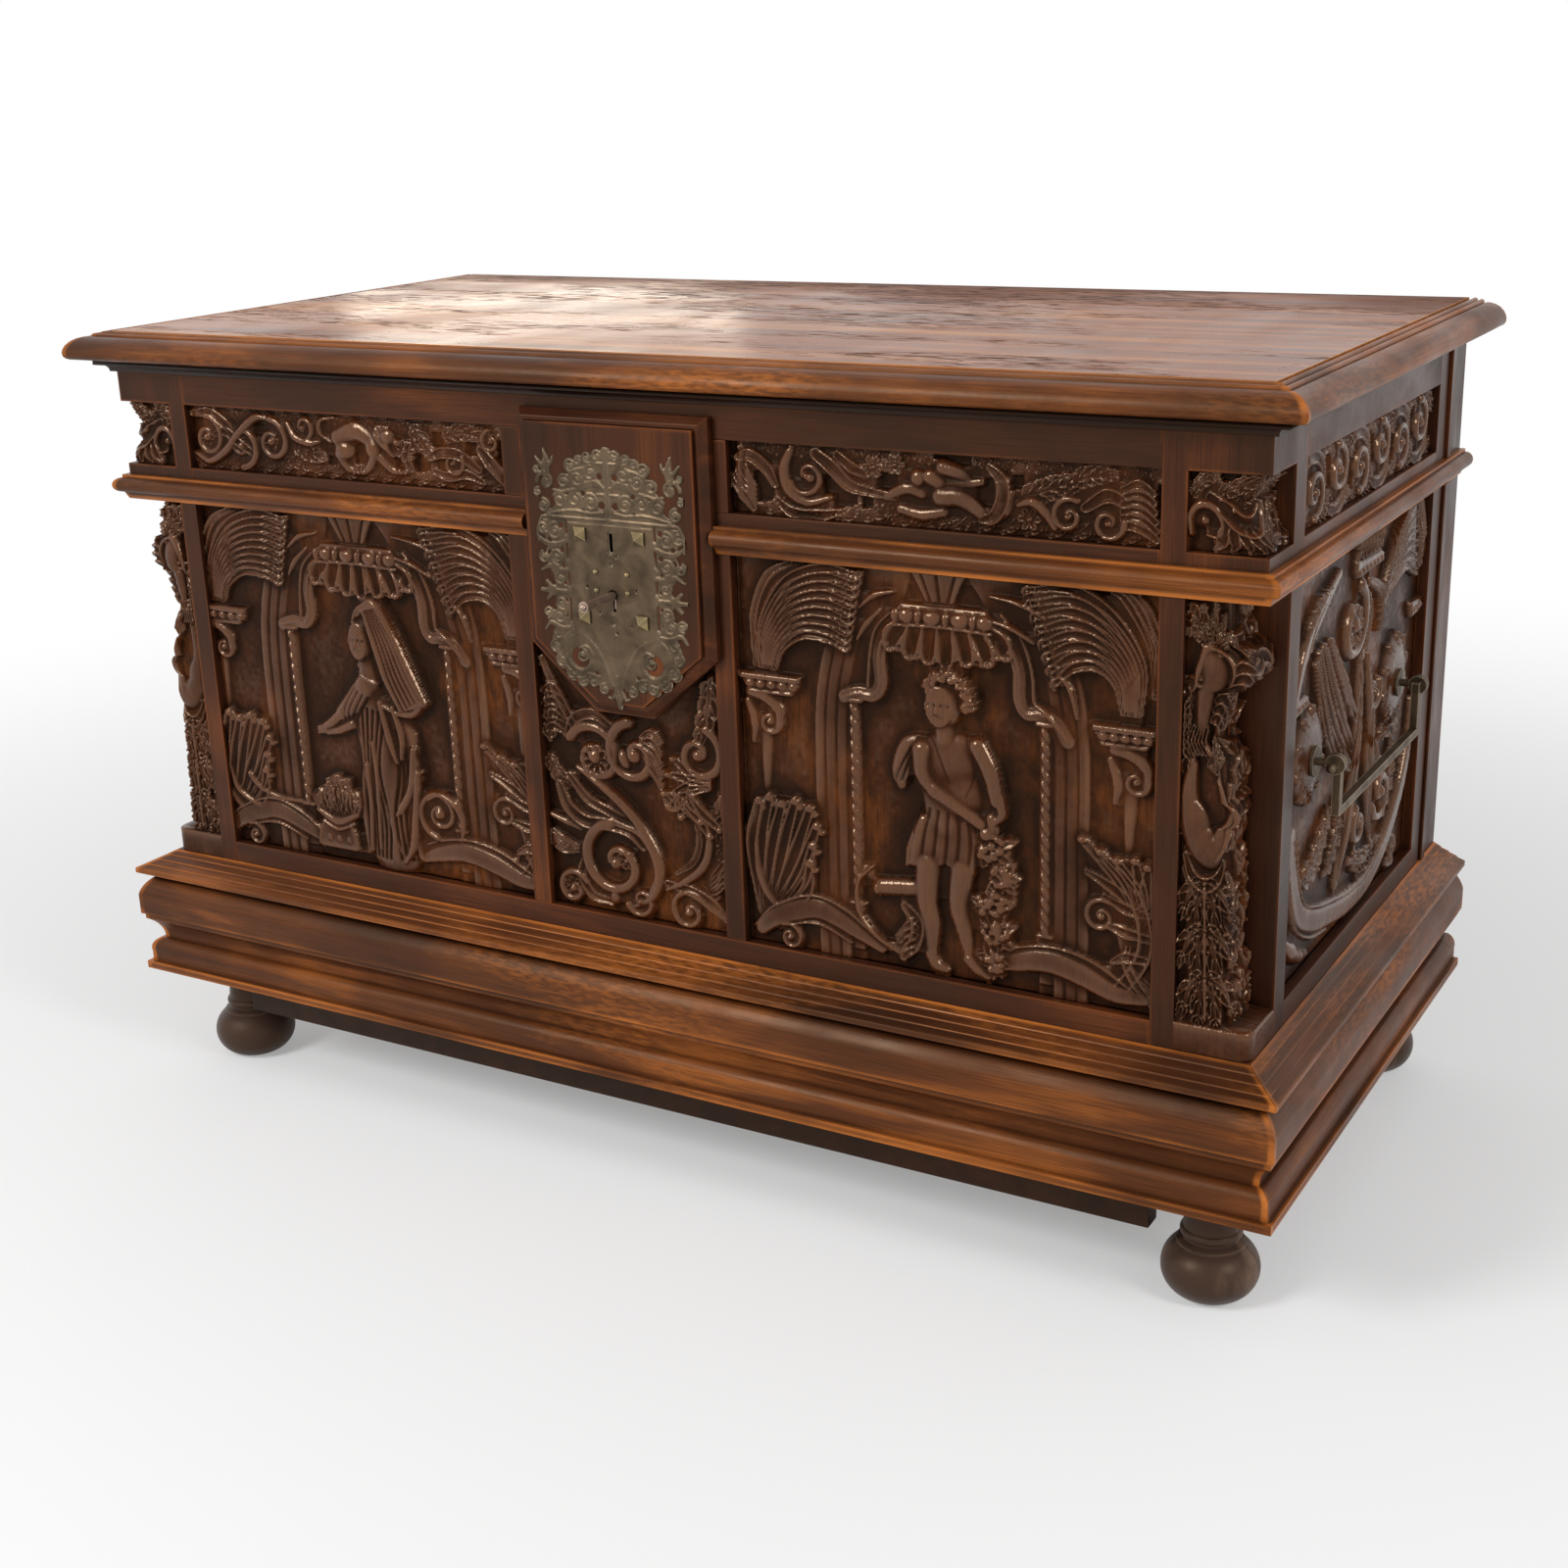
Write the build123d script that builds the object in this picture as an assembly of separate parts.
from build123d import *
import os
from math import acos, atan, atan2, cos, degrees, hypot, radians, sin

# Carved walnut cassone (lidded chest) with an iron coffer lock and a bail handle on each end.
# Millimetres, +Z up, +X to the viewer's right, the front faces -Y.
# The origin is on the floor, under the middle of the whole object's box.

# ---------------------------------------------------------------- overall sizes
carcass_width = 1500.0
carcass_depth = 733.0
foot_height = 140.0
rest_gap = 0.3                 # the closed lid over the carcass

# ---------------------------------------------------------------- plinth moulding, from the floor up
base_overhang = 42.0           # furthest projection of the plinth and of the ledge
base_fillet_height = 10.0
base_step_height = 14.0
base_step_overhang = 36.0
base_roll_height = 18.0
base_roll_overhang = 31.0
hollow_height = 30.0
waist_overhang = 22.0
hollow_fillet_height = 8.0
hollow_fillet_overhang = 38.0
bead_height = 8.0
bulge_height = 43.0
bulge_belly_height = 30.0      # fullest part of the bulge, over the bead
bulge_belly_setback = 4.5
neck_overhang = 24.0

# ---------------------------------------------------------------- reeded ledge over the plinth
ledge_height = 35.0
ledge_nose_height = 7.0
ledge_cove_height = 8.0
ledge_reeds = 4                # small steps that climb from the nose to the carcass
reed_drop = 1.2                # how far each step falls before the next slope

# ---------------------------------------------------------------- carcass frame heights
bottom_rail_height = 27.0      # the part that shows over the ledge
panel_height = 454.0
string_height = 31.0
frieze_sill_height = 14.0
frieze_height = 79.0
top_rail_height = 37.5

# ---------------------------------------------------------------- frame members
frame_thickness = 30.0
front_post_width = 109.0
front_post_depth = 107.0
back_post_width = 80.0
back_post_depth = 116.0
muntin_width = 25.0
centre_width = 250.0           # between the two middle muntins
panel_setback = 2.0            # carved face behind the frame's face
panel_thickness = 20.0
tongue_thickness = 9.0
tongue_length = 9.0
groove_clearance = 0.3         # room for the panels to swell in their grooves

# ---------------------------------------------------------------- carved corner blocks
block_width = 83.0             # across the front
block_return = 73.0            # along the end of the chest
block_thickness = 52.0
pilaster_foot_height = 32.0
shaft_foot_setback = 20.0      # setbacks are measured in from the end of the chest
shaft_top_setback = 32.0
knob_height = 27.0
knob_setback = 23.0
scroll_height = 63.0
scroll_setback = 30.0
neck_height = 51.0
neck_setback = 44.0
volute_foot_setback = 30.0
volute_height = 46.0
volute_setback = 8.0
crown_height = 47.0
crown_setback = 29.0
frieze_waist_height = 51.0     # narrowest part of the frieze block, over its foot
frieze_waist_setback = 22.0
frieze_step = 6.0              # the lower half starts this much further out
frieze_foot_height = 8.0
frieze_flare = 5.0             # hollow of the lower half

# ---------------------------------------------------------------- string moulding under the frieze
string_overhang = 17.0
string_fillet_height = 4.0
string_fillet_overhang = 7.0
string_cove_height = 9.0
string_foot_overhang = 3.0

# ---------------------------------------------------------------- back, bottom and bearers
back_board_thickness = 20.0
back_board_count = 3
board_gap = 0.5                # open joint between neighbouring boards
bottom_board_thickness = 20.0
cleat_size = 25.0
bearer_height = 51.0
bearer_thickness = 25.0
bearer_foot_gap = 18.0         # from the bearer's end to the foot

# ---------------------------------------------------------------- worn bead on each end, before the back post
side_bead_width = 14.0
side_bead_thickness = 4.0
side_bead_inset = 62.0         # from the back of the chest

# ---------------------------------------------------------------- turned feet
foot_inset = 52.0              # foot axis behind the carcass face
bun_radius = 54.0
bun_sole_radius = 28.0
bun_belly_height = 34.0
bun_height = 62.0
foot_ring_radius = 37.5
foot_ring_height = 3.0
foot_cove_radius = 31.0
foot_cove_height = 7.0
foot_bead_radius = 34.0
foot_bead_height = 10.0
foot_neck_radius = 29.0        # at its waist
foot_neck_end_radius = 31.0
foot_collar_radius = 35.0
foot_collar_height = 7.0
foot_tenon_radius = 12.5
foot_tenon_length = 40.0

# ---------------------------------------------------------------- carving of the front and end panels
# Heights over the sunk ground, which lies level with the front of the tongue.
carving_root = 2.0             # how deep each carved mass is rooted in the board
low_relief = 4.0               # reeds and plinths
leaf_relief = 9.0              # leaves, bands and ribbons
bold_relief = panel_thickness - tongue_thickness      # level with the old face of the board
crest_relief = bold_relief + panel_setback            # figures, level with the frame
niche_shift = 9.0              # each niche stands a little right of its panel's middle
niche_half_width_right = 106.0
niche_half_width_left = 118.0
colonnette_radius = 6.5
colonnette_foot = 72.0         # over the panel's foot
limb_slope = 0.5               # how far a limb's sides lean in, to its half width
boss_shoulder = 0.6
boss_slope = 0.25
carving_foot = 17.0            # bare strip along the panel's foot
spring_drop = 153.0            # spring of the arch under the panel's top
reed_count = 3
reed_pitch = 14.0
reed_width = 12.0
reed_gap = 16.0                # from the colonnette to the first reed
keystone_half_top = 32.0
keystone_half_foot = 16.0
keystone_height = 34.0
cushion_half_width = 60.0
cushion_height = 26.0
cushion_beads = 6
cushion_bead_radius = 9.5
valance_relief = 8.0
valance_height = 28.0
valance_scallops = 7
valance_scallop_drop = 6.0
capital_length = 79.0
capital_drop = 131.0           # top of the capitals under the panel's top
capital_slab = 9.0
capital_neck = 10.0
capital_neck_setback = 6.0
bracket_radius = 18.0
bracket_setback = 36.0
bracket_drop = 52.0            # middle of each bracket's scroll under the capital's top
bracket_tail = 92.0
plume_root_setback = 20.0
plume_width = 26.0
plume_drop = 7.0               # tip of each plume under the panel's top
plume_fall = 91.0              # inner end of the plume under the panel's top
eye_boss_radius = 50.0         # behind each eye of the handles
eye_boss_margin = 2.0          # flat left round the rose

# ---------------------------------------------------------------- lid
lid_board_thickness = 32.0
lid_under_height = 18.0
lid_overhang = 45.0
lid_board_count = 3
lid_quirk_width = 5.0          # groove between the boards and the edge moulding
lid_quirk_depth = 3.0
lid_slope_width = 9.0
lid_slope_drop = 4.0
lid_nose_height = 14.0
lid_lip_overhang = 26.0
under_overhang = 20.0
under_step = 7.0
under_foot_overhang = 6.0
under_inner = 32.0             # how far the under-frame reaches in over the rails
lid_batten_width = 60.0
lid_batten_clearance = 6.0     # from the batten's ends to the inside of the chest

# ---------------------------------------------------------------- lock board on the front
lock_centre = 9.0              # the lock stands a little right of the chest's middle
plaque_half_width = 112.0
plaque_top_drop = 25.5         # its top edge under the top of the carcass
plaque_side_height = 250.0
plaque_point_height = 67.0
plaque_flat = 64.0             # width of the blunt point
plaque_projection = 22.0
plaque_moulding_width = 13.0
plaque_moulding_height = 17.0
plaque_chamfer = 8.0
apron_point_width = 80.0       # flat at the tip of the board under the lock board
apron_tip_drop = 19.0          # the apron's tip under the lock board's
apron_shoulder_drop = 11.0     # the apron's shoulders, at the muntins, under the lock board's

# ---------------------------------------------------------------- iron lock plate
plate_thickness = 2.5
plate_top_drop = 48.5          # crest of the plate under the top of the carcass
plate_length = 300.0
crest_half_width = 50.0
crest_drop = 34.0              # ends of the crest's round head
crest_rise = 7.0               # how full the round head is, over a straight line
valley_drop = 50.0             # notch between the crest and each ear
ear_inner = 62.0
ear_tip = 82.0
ear_outer = 99.0
ear_tip_drop = 7.0
ear_hollow = 5.0
border_half_width = 93.0
border_lobe = 5.0              # how far each lobe of the scrolled border swells out
border_lobes = 3
border_drop = 216.0            # end of the upright sides
lower_lobe_width = 64.0        # the lower border steps in here, and again at the tip
lower_lobe_drop = 252.0
tip_lobe_width = 30.0
tip_lobe_drop = 274.0
tip_neck = 9.0
tip_neck_drop = 284.0
slit_width = 6.4
slit_length = 23.0
key_axis_drop = 215.5          # the key's axis under the top of the carcass
slit_above_key = 59.0          # middle of the hasp slit
keyhole_radius = 5.6
keyhole_slot_width = 6.0
keyhole_slot_length = 20.0
stud_base = 15.0
stud_base_thickness = 2.0
stud_rise = 7.0
stud_tip = 1.2                 # blunt end of the pyramid
stud_shank_radius = 3.0
stud_shank_length = 14.0
stud_offset = 39.0
stud_rows = (68.0, -27.0)      # over the key's axis
rivet_radius = 3.2
rivet_offset = 21.0
rivet_rows = (26.0, 5.0)       # over the key's axis

# ---------------------------------------------------------------- lock works
case_left = 30.0               # from the lock's middle
case_right = 35.0
case_wall = 2.0
case_depth = 20.0
case_below_key = 36.0
case_above_slit = 17.0
key_shank_radius = 4.8
key_projection = 60.0
key_collar_radius = 6.2
key_collar_length = 4.0
key_tip_radius = 4.0
key_inside_length = 15.0
key_pin_radius = 2.2
key_pin_length = 24.0
key_pin_end_gap = 1.0
running_clearance = 0.05
bit_reach = 16.0
bit_thickness = 4.0
bit_width = 6.0
bit_depth = 3.0                # from the plate's back to the bit
bolt_thickness = 4.0
bolt_notch_width = 10.0
bolt_notch_clearance = 1.3     # under the bit's end
bolt_arm_top = 11.0            # under the key's axis
bolt_arm_height = 12.0
bolt_travel = 13.0             # a little more than one throw of the key
bolt_stop_gap = 1.0            # left to the tray's wall at the end of that travel
bolt_arm_left = case_left - case_wall - bolt_travel - bolt_stop_gap
bolt_spine_left = 18.0
bolt_spine_width = 10.0
bolt_finger_height = 11.0
bolt_slide_gap = 0.3
key_turn_angle = 40.0          # one throw of the bolt
bolt_throw = bit_reach * radians(key_turn_angle)

# ---------------------------------------------------------------- bail handles on the ends
handle_height = 577.0          # pivot above the floor
handle_span = 330.0            # between the two eyes
handle_centre = 350.0          # behind the carcass's front
handle_drop = 55.0
handle_bar = 9.0
pivot_standoff = 21.0          # pivot axis from the end frame's face
pivot_radius = 3.6
pivot_tail = 14.0
pivot_ball_radius = 5.0
eye_radius = 11.0
eye_width = 9.0
eye_gap = 0.4                  # between the eye and the bail's arm
stem_radius = 4.2
rose_radius = 17.0
rose_thickness = 3.0
rove_radius = 10.0
rove_thickness = 2.0

# ---------------------------------------------------------------- iron hinges on the back
hinge_inset = 260.0            # middle of each hinge from the end of the chest
hinge_width = 66.0
hinge_plate_thickness = 3.0
hinge_lower_length = 120.0
hinge_upper_length = 42.0
knuckle_radius = 5.0
knuckle_gap = 0.4
hinge_pin_radius = 2.2
pin_head_radius = 3.6
pin_head_length = 3.0

# ---------------------------------------------------------------- places worked out from the sizes
half_width = carcass_width / 2
front_reach = max(base_overhang, lid_overhang,
                  plaque_projection + plate_thickness + key_projection)
back_reach = knuckle_gap + 2 * knuckle_radius
front = front_reach - (front_reach + carcass_depth + back_reach) / 2
back = front + carcass_depth

plinth_bottom = foot_height
ledge_bottom = (plinth_bottom + base_fillet_height + base_step_height + base_roll_height
                + hollow_height + hollow_fillet_height + bead_height + bulge_height)
ledge_top = ledge_bottom + ledge_height
panel_bottom = ledge_top + bottom_rail_height
panel_top = panel_bottom + panel_height
string_top = panel_top + string_height
frieze_bottom = string_top + frieze_sill_height
frieze_top = frieze_bottom + frieze_height
carcass_top = frieze_top + top_rail_height
lid_bottom = carcass_top + rest_gap
lid_board_bottom = lid_bottom + lid_under_height
lid_top = lid_board_bottom + lid_board_thickness

post_inner = half_width - front_post_width
block_inner = half_width - block_width
end_front = front + front_post_depth       # where the end frame starts, behind the front post
end_back = back - back_post_depth          # and where it stops, at the back post
inner_front = front + frame_thickness
inner_back = back - frame_thickness
inner_half_width = half_width - frame_thickness
muntin_inner = centre_width / 2
muntin_outer = muntin_inner + muntin_width
hinge_axis_y = back + knuckle_gap + knuckle_radius
hinge_axis_z = (carcass_top + lid_bottom) / 2
plaque_top = carcass_top - plaque_top_drop
plaque_shoulder = plaque_top - plaque_side_height
plaque_tip = plaque_shoulder - plaque_point_height
plaque_front = front - plaque_projection
plate_front = plaque_front - plate_thickness
key_tip = plate_front - key_projection
key_height = carcass_top - key_axis_drop
slit_height = key_height + slit_above_key
plate_top = carcass_top - plate_top_drop
apron_tip = plaque_tip - apron_tip_drop
apron_shoulder = plaque_shoulder - apron_shoulder_drop
case_back = plaque_front + case_depth
pivot_x = half_width + pivot_standoff
eye_y = (front + handle_centre - handle_span / 2, front + handle_centre + handle_span / 2)


# ---------------------------------------------------------------- helpers
def block(x0, x1, y0, y1, z0, z1):
    """A squared timber or plate between two corners."""
    return Pos((x0 + x1) / 2, (y0 + y1) / 2, (z0 + z1) / 2) * Box(x1 - x0, y1 - y0, z1 - z0)


def rod(radius, start, end):
    """A round bar from one point to another."""
    axis = Vector(*end) - Vector(*start)
    return Plane(origin=start, z_dir=axis) * Cylinder(
        radius, axis.length, align=(Align.CENTER, Align.CENTER, Align.MIN))


def outline(*steps):
    """A closed flat face. A step of two numbers is a straight line to that point,
    and a step of four is an arc through the first pair that ends at the second."""
    edges = []
    here = steps[0]
    for step in (*steps[1:], steps[0]):
        there = step[-2:]
        if len(step) == 4:
            edges.append(ThreePointArc(here, step[:2], there))
        elif abs(here[0] - there[0]) + abs(here[1] - there[1]) > 1e-6:
            edges.append(Line(here, there))
        here = there
    return make_face(Wire(edges))


def mirrored(part):
    """The left-hand twin of a right-hand piece."""
    return mirror(part, about=Plane.YZ)


def front_plane(y):
    """Drawing plane seen from the front: across is X and up is Z, and it extrudes forwards."""
    return Plane(origin=(0, y, 0), x_dir=(1, 0, 0), z_dir=(0, -1, 0))


def mitre_prism(*corners):
    """An upright prism over a plan outline, which trims a moulding to its mitres."""
    return extrude(make_face(Polyline(*corners, close=True)), amount=2 * lid_top)


def front_moulding(profile, reach, inner):
    """A moulding along the front, mitred at both corners."""
    plane = Plane(origin=(0, front, 0), x_dir=(0, -1, 0), z_dir=(-1, 0, 0))
    run = extrude(plane * profile, amount=half_width + reach, both=True)
    return run & mitre_prism((-half_width - reach, front - reach), (half_width + reach, front - reach),
                             (half_width - inner, front + inner), (-half_width + inner, front + inner))


def end_moulding(profile, reach, inner, stop):
    """A moulding along the right-hand end, from the front mitre to a square cut at the back."""
    plane = Plane(origin=(half_width, front - reach, 0), x_dir=(1, 0, 0), z_dir=(0, -1, 0))
    run = extrude(plane * profile, amount=-(stop - front + reach))
    return run & mitre_prism((half_width + reach, front - reach), (half_width + reach, stop),
                             (half_width - inner, stop), (half_width - inner, front + inner))


# ---------------------------------------------------------------- mouldings in section
def plinth_section():
    z = [plinth_bottom]
    for height in (base_fillet_height, base_step_height, base_roll_height, hollow_height,
                   hollow_fillet_height, bead_height, bulge_height):
        z.append(z[-1] + height)
    roll = base_roll_height / 4
    hollow_mid = ((z[3] + z[4]) / 2, waist_overhang + (hollow_fillet_overhang - waist_overhang) / 6)
    return outline(
        (0, z[0]), (base_overhang, z[0]), (base_overhang, z[1]), (base_step_overhang, z[1]),
        (base_step_overhang, z[2]),
        (base_roll_overhang + roll, (z[2] + z[3]) / 2, base_roll_overhang - roll, z[3]),
        (waist_overhang, z[3]),
        (hollow_mid[1], hollow_mid[0], hollow_fillet_overhang, z[4]),
        (hollow_fillet_overhang, z[5]), (base_overhang, z[5]), (base_overhang, z[6]),
        (base_overhang - bulge_belly_setback, z[6] + bulge_belly_height, neck_overhang, z[7]),
        (0, z[7]))


def ledge_section():
    nose_bottom = ledge_bottom + ledge_cove_height
    nose_top = nose_bottom + ledge_nose_height
    run = base_overhang / ledge_reeds
    rise = (ledge_top - nose_top) / ledge_reeds
    steps = [(0, ledge_bottom), (neck_overhang, ledge_bottom),
             ((neck_overhang + base_overhang) / 2 - 1.5 * reed_drop, nose_bottom - ledge_cove_height / 3,
              base_overhang - reed_drop, nose_bottom),
             (base_overhang, nose_bottom), (base_overhang, nose_top)]
    for reed in range(1, ledge_reeds):
        steps.append((base_overhang - run * reed, nose_top + rise * reed - reed_drop))
        steps.append((base_overhang - run * reed, nose_top + rise * reed))
    steps.append((0, ledge_top))
    return outline(*steps)


def string_section():
    roll_bottom = panel_top + string_cove_height
    roll_top = string_top - string_fillet_height
    middle = (roll_bottom + roll_top) / 2
    return outline(
        (0, panel_top), (string_foot_overhang, panel_top),
        (string_fillet_overhang, roll_bottom),
        (string_overhang, middle, string_fillet_overhang, roll_top),
        (string_fillet_overhang, string_top), (0, string_top))


def lid_edge_section():
    slope_end = lid_quirk_width + lid_slope_width
    nose_top = lid_board_bottom + lid_nose_height
    return outline(
        (0, lid_board_bottom), (lid_lip_overhang, lid_board_bottom),
        (lid_overhang, lid_board_bottom + lid_nose_height / 2, lid_overhang - lid_slope_drop, nose_top),
        (slope_end, lid_top - lid_slope_drop), (lid_quirk_width, lid_top),
        (lid_quirk_width, lid_top - lid_quirk_depth), (0, lid_top - lid_quirk_depth))


def lid_under_section():
    step = lid_bottom + lid_under_height / 2
    return outline(
        (-under_inner, lid_bottom), (under_foot_overhang, lid_bottom),
        (under_foot_overhang + under_step / 4, step - under_step / 2,
         under_overhang - under_step, step),
        (under_overhang, step), (under_overhang, lid_board_bottom), (-under_inner, lid_board_bottom))


# ---------------------------------------------------------------- feet, bearers and bottom
def foot(x, y):
    """A bun with a thin ring, a cove and a bead under its neck, and a tenon up into the bearer."""
    ring_top = bun_height + foot_ring_height
    bead_bottom = ring_top + foot_cove_height
    bead_top = bead_bottom + foot_bead_height
    collar_bottom = foot_height - foot_collar_height
    section = outline(
        (0, 0), (bun_sole_radius, 0), (bun_radius, bun_belly_height, foot_ring_radius, bun_height),
        (foot_ring_radius, ring_top), (foot_cove_radius, (ring_top + bead_bottom) / 2),
        (foot_cove_radius, bead_bottom),
        (foot_bead_radius, (bead_bottom + bead_top) / 2, foot_neck_end_radius, bead_top),
        (foot_neck_radius, (bead_top + collar_bottom) / 2, foot_neck_end_radius, collar_bottom),
        (foot_collar_radius, collar_bottom),
        (foot_collar_radius, foot_height), (foot_tenon_radius, foot_height),
        (foot_tenon_radius, foot_height + foot_tenon_length), (0, foot_height + foot_tenon_length))
    return Pos(x, y, 0) * revolve(Plane.XZ * section, axis=Axis.Z)


def foot_places():
    x = half_width - foot_inset
    return {"foot_front_left": (-x, front + foot_inset), "foot_front_right": (x, front + foot_inset),
            "foot_back_left": (-x, back - foot_inset), "foot_back_right": (x, back - foot_inset)}


def tenon_holes():
    """The sockets bored for the feet's tenons in the posts' ends."""
    return [rod(foot_tenon_radius, (x, y, foot_height), (x, y, foot_height + foot_tenon_length))
            for x, y in foot_places().values()]


def bottom_bearers():
    reach = half_width - foot_inset - foot_collar_radius - bearer_foot_gap
    low, high = foot_height - bearer_height, foot_height
    cleat_top = high + cleat_size
    return [block(-reach, reach, front, front + bearer_thickness, low, high),
            block(-reach, reach, back - bearer_thickness, back, low, high),
            block(-post_inner, post_inner, inner_front, inner_front + cleat_size, high, cleat_top),
            block(-post_inner, post_inner, inner_back - cleat_size, inner_back, high, cleat_top)]


def bottom_board():
    low = foot_height + cleat_size
    board = block(-inner_half_width, inner_half_width, inner_front, inner_back,
                  low, low + bottom_board_thickness)
    notch_front = half_width - front_post_width
    notch_back = half_width - back_post_width
    for side in (-1, 1):
        x = sorted((side * notch_front, side * half_width))
        board -= block(*x, front, end_front, low, low + bottom_board_thickness)
        x = sorted((side * notch_back, side * half_width))
        board -= block(*x, end_back, back, low, low + bottom_board_thickness)
    return board


# ---------------------------------------------------------------- posts and rails
def tongue_groove(x0, x1, y0, y1, z0, z1):
    """The room that a panel's tongue needs in the members around it."""
    return block(x0 - groove_clearance, x1 + groove_clearance, y0, y1,
                 z0 - groove_clearance, z1 + groove_clearance)


def front_groove(x0, x1, z0, z1):
    """The groove for one front panel whose visible field is given."""
    face = front + panel_setback + panel_thickness
    return tongue_groove(x0 - tongue_length, x1 + tongue_length, face - tongue_thickness, face,
                         z0 - tongue_length, z1 + tongue_length)


def end_groove(z0, z1):
    """The groove for one panel of the right-hand end."""
    face = half_width - panel_setback - panel_thickness
    reach = tongue_length + groove_clearance
    return block(face, face + tongue_thickness, end_front - reach, end_back + reach, z0 - reach, z1 + reach)


def front_fields():
    """The openings of the front frame on the right-hand half and in the middle."""
    return [(muntin_outer, post_inner, panel_bottom, panel_top),
            (muntin_outer, post_inner, frieze_bottom, frieze_top)]


def front_post():
    post = block(post_inner, half_width, front, end_front, plinth_bottom, carcass_top)
    for low, high in ((ledge_top, panel_top), (frieze_bottom, frieze_top)):
        post -= block(block_inner, half_width, front, front + block_thickness, low, high)
        post -= block(half_width - block_thickness, half_width, front, front + block_return, low, high)
    for field in front_fields():
        post -= front_groove(*field)
    for low, high in ((panel_bottom, panel_top), (frieze_bottom, frieze_top)):
        post -= end_groove(low, high)
    for hole in tenon_holes():
        post -= hole
    return post


def back_post():
    post = block(half_width - back_post_width, half_width, end_back, back, plinth_bottom, carcass_top)
    for low, high in ((panel_bottom, panel_top), (frieze_bottom, frieze_top)):
        post -= end_groove(low, high)
    for hole in tenon_holes():
        post -= hole
    return post


def front_rail(low, high):
    """A rail between the front posts, grooved for the panels over and under it."""
    rail = block(-post_inner, post_inner, front, inner_front, low, high)
    for field in front_fields():
        rail -= front_groove(*field)
        rail -= mirrored(front_groove(*field))
    return rail - front_groove(-muntin_inner, muntin_inner, panel_bottom, apron_shoulder)


def muntins():
    pieces = []
    for low, high in ((panel_bottom, panel_top), (frieze_bottom, frieze_top)):
        bar = block(muntin_inner, muntin_outer, front, inner_front, low, high)
        bar -= front_groove(muntin_outer, post_inner, low, high)
        bar -= front_groove(-muntin_inner, muntin_inner, panel_bottom, apron_shoulder)
        pieces += [bar, mirrored(bar)]
    return pieces


def end_rails():
    pieces = []
    for low, high in ((plinth_bottom, panel_bottom), (panel_top, frieze_bottom), (frieze_top, carcass_top)):
        rail = block(inner_half_width, half_width, end_front, end_back, low, high)
        rail -= end_groove(panel_bottom, panel_top)
        rail -= end_groove(frieze_bottom, frieze_top)
        pieces.append(rail)
    return pieces


def back_rails():
    reach = half_width - back_post_width
    return [block(-reach, reach, inner_back, back, plinth_bottom, panel_bottom),
            block(-reach, reach, inner_back, back, frieze_top, carcass_top)]


def back_boards():
    reach = half_width - back_post_width
    pitch = (frieze_top - panel_bottom) / back_board_count
    pieces = []
    for row in range(back_board_count):
        low = panel_bottom + pitch * row
        high = low + pitch - (board_gap if row < back_board_count - 1 else 0)
        pieces.append(block(-reach, reach, back - back_board_thickness, back, low, high))
    return pieces


# ---------------------------------------------------------------- carving, in its main masses
# Each mass is drawn on a face of its own, X across it and Y up it, and stands out along Z.
# A limb is its height and its joints: across from the niche's middle, up from the panel's foot,
# and half its width there. A leaf or band is its height and its outline, from the same places.
youth_limbs = (
    (crest_relief, ((-2, 318, 23), (-4, 297, 13))),                             # head
    (leaf_relief, ((-3, 293, 10), (-1, 268, 13))),                              # neck
    (crest_relief, ((3, 250, 36), (8, 222, 31), (-2, 195, 30))),                # chest and waist
    (bold_relief, ((-4, 185, 32), (-7, 168, 42))),                              # skirt of the tunic
    (bold_relief, ((-23, 129, 16), (-26, 87, 13), (-21, 23, 8), (-6, 13, 6))),  # legs and feet
    (bold_relief, ((17, 129, 15), (13, 87, 13), (25, 25, 8), (41, 14, 6))),
    (crest_relief, ((-28, 259, 13), (-14, 217, 10), (42, 186, 7))),             # arms
    (crest_relief, ((41, 263, 13), (62, 213, 12))),
    (leaf_relief, ((-22, 264, 11), (-54, 232, 14))),                            # cape
    (leaf_relief, ((-84, 93, 11), (-36, 99, 12))),                              # log
)
youth_bosses = ((52, 161, 21), (64, 129, 16), (54, 95, 20), (56, 63, 18), (56, 33, 16), (-46, 42, 17))
woman_limbs = (
    (crest_relief, ((-6, 310, 20), (-6, 286, 12))),                             # head
    (leaf_relief, ((-4, 275, 12), (-1, 250, 16))),                              # neck
    (bold_relief, ((-3, 222, 28), (10, 140, 44), (16, 40, 50))),                # robe
    (crest_relief, ((2, 338, 11), (22, 324, 18), (38, 290, 22), (62, 238, 23))),  # veil
    (crest_relief, ((-9, 239, 17), (-48, 204, 12), (-83, 179, 6))),             # arms
    (leaf_relief, ((-30, 190, 8), (-80, 171, 5))),
)
woman_bosses = ((93, 87, 33),)
brazier_shapes = (
    (leaf_relief, ((-113, 13), (-41, 13), (-49, 51), (-103, 51))),              # stand
    (bold_relief, ((-109, 67), (-75, 42, -41, 67))),                            # bowl
    (leaf_relief, ((-105, 66), (-92, 105, -73, 130), (-54, 105, -43, 66))),     # flames
)
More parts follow.
